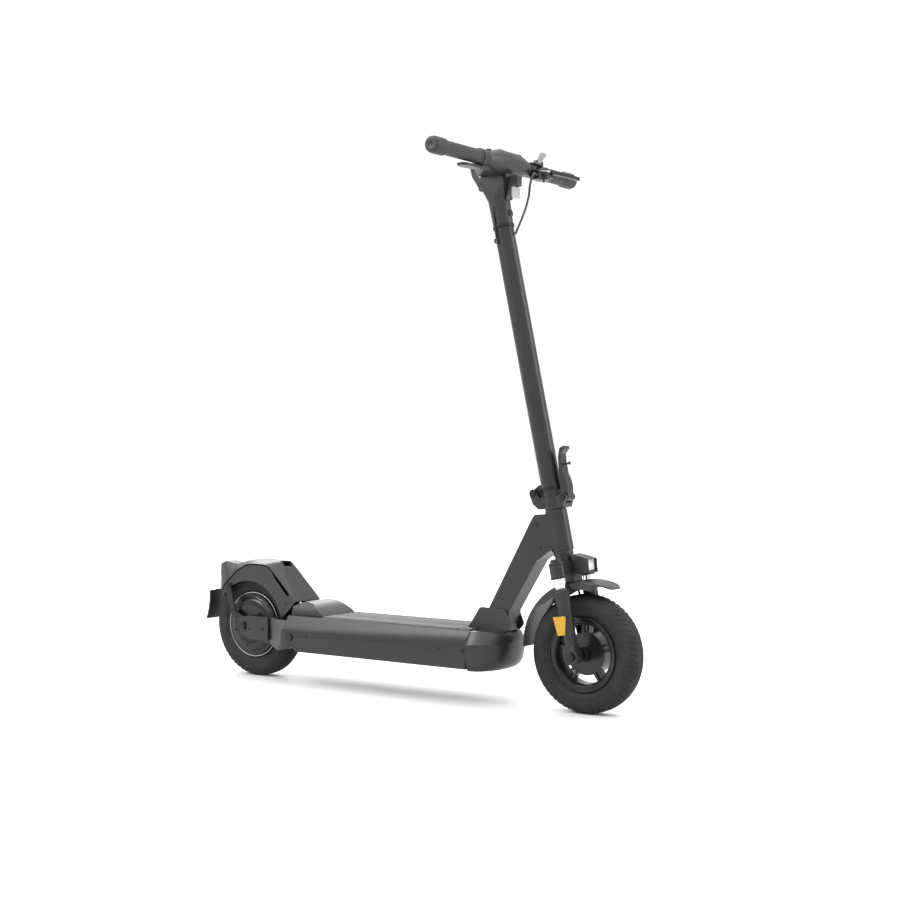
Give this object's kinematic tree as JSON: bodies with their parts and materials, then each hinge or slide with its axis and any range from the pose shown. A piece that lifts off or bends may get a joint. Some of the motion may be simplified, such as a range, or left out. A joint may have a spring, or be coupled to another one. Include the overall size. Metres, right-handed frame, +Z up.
{
  "type": "electric kick scooter",
  "caption": "Folding electric kick scooter with a sprung fork, a sprung rear arm with hub motor, a drum front brake, a footboard deck and a tall hinged stem.",
  "frame": {"origin": "on the ground, midway between the mudflap and the front tyre and midway between the grips", "axes": "+X is the direction of travel, +Y is the rider's left, +Z is up"},
  "size_m": [1.207, 0.568, 1.234],
  "materials": {
    "frame_metal": "satin anthracite powder coat",
    "wheel_metal": "satin dark grey paint",
    "shell_plastic": "fine grained moulded plastic",
    "black_plastic": "black moulded plastic",
    "button_plastic": "glossy black plastic",
    "catch_plastic": "black moulded button",
    "mat_rubber": "ribbed grip rubber",
    "tyre_rubber": "tyre rubber",
    "bright_steel": "polished hard chrome",
    "plain_steel": "zinc plated steel",
    "black_metal": "black anodised aluminium",
    "striker_plastic": "light grey plastic",
    "reflector_white": "clear prismatic plastic",
    "reflector_amber": "amber prismatic plastic",
    "lamp_red": "red lens",
    "lens_clear": "clear lens over the lamp",
    "cell_wrap": "wrapped cells in their tray",
    "controller_metal": "cast finned case",
    "stator_copper": "wound laminations",
    "shoe_iron": "cast shoe with lining",
    "cable_jacket": "smooth black cable jacket"
  },
  "bodies": {
    "frame": {"deck_frame": "frame_metal", "bottom_cover": "shell_plastic", "grip_mat": "mat_rubber", "battery_pack": "cell_wrap", "controller": "controller_metal", "nose_casting": "frame_metal", "frame_neck": "frame_metal", "headset_cups": "black_plastic", "tail_hump": "shell_plastic", "frame_bolts": "black_metal", "charge_socket": "black_plastic"},
    "socket_cover": {"charge_cover": "mat_rubber"},
    "side_stand": {"kickstand": "black_metal"},
    "rear_arm": {"swing_arm": "frame_metal", "rear_axle": "black_metal", "motor_stator": "stator_copper", "axle_covers": "frame_metal", "rear_fender": "shell_plastic", "fender_stays": "black_metal", "mudflap": "black_plastic", "tail_lamp": "lamp_red", "rear_springs": "plain_steel"},
    "rear_wheel": {"motor_shell": "wheel_metal", "hub_covers": "wheel_metal", "rear_tyre": "tyre_rubber"},
    "steering": {"fork_crown": "frame_metal", "stanchions": "bright_steel", "fold_base": "frame_metal", "hinge_pins": "black_metal", "headlight_shell": "shell_plastic", "headlight_lens": "lens_clear", "front_fender": "shell_plastic", "front_brake_cable": "cable_jacket"},
    "fork_lower": {"lower_legs": "frame_metal", "front_axle": "black_metal", "brake_plate": "wheel_metal", "side_reflectors": "reflector_amber", "fork_springs": "plain_steel"},
    "front_wheel": {"front_rim": "wheel_metal", "front_tyre": "tyre_rubber"},
    "cam_arm": {"brake_arm": "plain_steel"},
    "upper_shoe": {"upper_brake_shoe": "shoe_iron"},
    "lower_shoe": {"lower_brake_shoe": "shoe_iron"},
    "stem": {"stem_tube": "frame_metal", "stem_neck": "shell_plastic", "handlebar": "black_metal", "grips": "mat_rubber", "display_pod": "shell_plastic", "brake_perch": "black_plastic", "throttle_housing": "black_plastic", "bell_body": "black_metal", "front_reflector": "reflector_white", "brake_cable": "cable_jacket"},
    "latch": {"latch_lever": "frame_metal"},
    "catch": {"safety_catch": "catch_plastic"},
    "hook": {"fold_hook": "black_plastic"},
    "lever": {"brake_lever": "black_metal"},
    "throttle": {"throttle_lever": "black_plastic"},
    "striker": {"bell_striker": "striker_plastic"},
    "button": {"power_button": "button_plastic"}
  },
  "joints": [
    {"name": "steering_turn", "type": "hinge", "parent": "frame", "child": "steering", "pos_m": [0.4905, 0, 0], "axis": [-0.2113, 0, 0.9774], "range_deg": [-60, 60]},
    {"name": "fork_travel", "type": "slide", "parent": "steering", "child": "fork_lower", "axis": [-0.2113, 0, 0.9774], "range_m": [0, 0.02], "stiffness_N_per_m": 15000, "springref_m": -0.01, "deforming": ["fork_springs", "front_brake_cable"]},
    {"name": "front_wheel_spin", "type": "hinge", "parent": "fork_lower", "child": "front_wheel", "pos_m": [0.4765, 0, 0.127], "axis": [0, 1, 0], "continuous": true},
    {"name": "brake_cam_turn", "type": "hinge", "parent": "fork_lower", "child": "cam_arm", "pos_m": [0.4505, 0, 0.127], "axis": [0, 1, 0], "range_deg": [0, 14.5]},
    {"name": "upper_shoe_spread", "type": "hinge", "parent": "fork_lower", "child": "upper_shoe", "pos_m": [0.5025, 0, 0.127], "axis": [0, 1, 0], "range_deg": [0, 0.8]},
    {"name": "lower_shoe_spread", "type": "hinge", "parent": "fork_lower", "child": "lower_shoe", "pos_m": [0.5025, 0, 0.127], "axis": [0, -1, 0], "range_deg": [0, 0.8]},
    {"name": "stem_fold", "type": "hinge", "parent": "steering", "child": "stem", "pos_m": [0.352, 0, 0.46596], "axis": [0, -1, 0], "range_deg": [0, 91.5]},
    {"name": "latch_lever_turn", "type": "hinge", "parent": "steering", "child": "latch", "pos_m": [0.42589, 0, 0.45973], "axis": [0, 1, 0], "range_deg": [0, 95]},
    {"name": "safety_catch_press", "type": "slide", "parent": "latch", "child": "catch", "axis": [-0.9774, 0, -0.2113], "range_m": [0, 0.003], "stiffness_N_per_m": 500, "springref_m": -0.002},
    {"name": "fold_hook_turn", "type": "hinge", "parent": "stem", "child": "hook", "pos_m": [0.20956, 0, 1.14039], "axis": [0, 1, 0], "range_deg": [0, 15], "stiffness_Nm_per_rad": 0.5, "springref_deg": -11.46},
    {"name": "brake_lever_squeeze", "type": "hinge", "parent": "stem", "child": "lever", "pos_m": [0.297, 0.1135, 1.187], "axis": [0, 0, 1], "range_deg": [0, 7], "stiffness_Nm_per_rad": 6, "springref_deg": -2.86},
    {"name": "throttle_press", "type": "hinge", "parent": "stem", "child": "throttle", "pos_m": [0.269, 0, 1.19], "axis": [0, -1, 0], "range_deg": [0, 30], "stiffness_Nm_per_rad": 0.4, "springref_deg": -8.59},
    {"name": "bell_flick", "type": "hinge", "parent": "stem", "child": "striker", "pos_m": [0.2805, 0.118, 1.2095], "axis": [0, 1, 0], "range_deg": [0, 20], "stiffness_Nm_per_rad": 0.1, "springref_deg": -8.59},
    {"name": "power_press", "type": "slide", "parent": "stem", "child": "button", "axis": [0, 0, -1], "range_m": [0, 0.0015], "stiffness_N_per_m": 400, "springref_m": -0.001},
    {"name": "rear_suspension", "type": "hinge", "parent": "frame", "child": "rear_arm", "pos_m": [-0.284, 0, 0.114], "axis": [0, 1, 0], "range_deg": [0, 4.5], "stiffness_Nm_per_rad": 400, "springref_deg": -5.73, "deforming": ["rear_springs"]},
    {"name": "rear_wheel_spin", "type": "hinge", "parent": "rear_arm", "child": "rear_wheel", "pos_m": [-0.4545, 0, 0.127], "axis": [0, 1, 0], "continuous": true},
    {"name": "kickstand_swing", "type": "hinge", "parent": "frame", "child": "side_stand", "pos_m": [-0.05, 0.066, 0.066], "axis": [0, -0.8241, -0.5664], "range_deg": [0, 104.5]},
    {"name": "socket_cover_turn", "type": "hinge", "parent": "frame", "child": "socket_cover", "pos_m": [0.182, 0.0945, 0.127], "axis": [1, 0, 0], "range_deg": [0, 120]}
  ],
  "couplings": [
    {"joint": "brake_cam_turn", "follows": "brake_lever_squeeze", "ratio": 2},
    {"joint": "upper_shoe_spread", "follows": "brake_lever_squeeze", "ratio": 0.11},
    {"joint": "lower_shoe_spread", "follows": "brake_lever_squeeze", "ratio": 0.11}
  ]
}
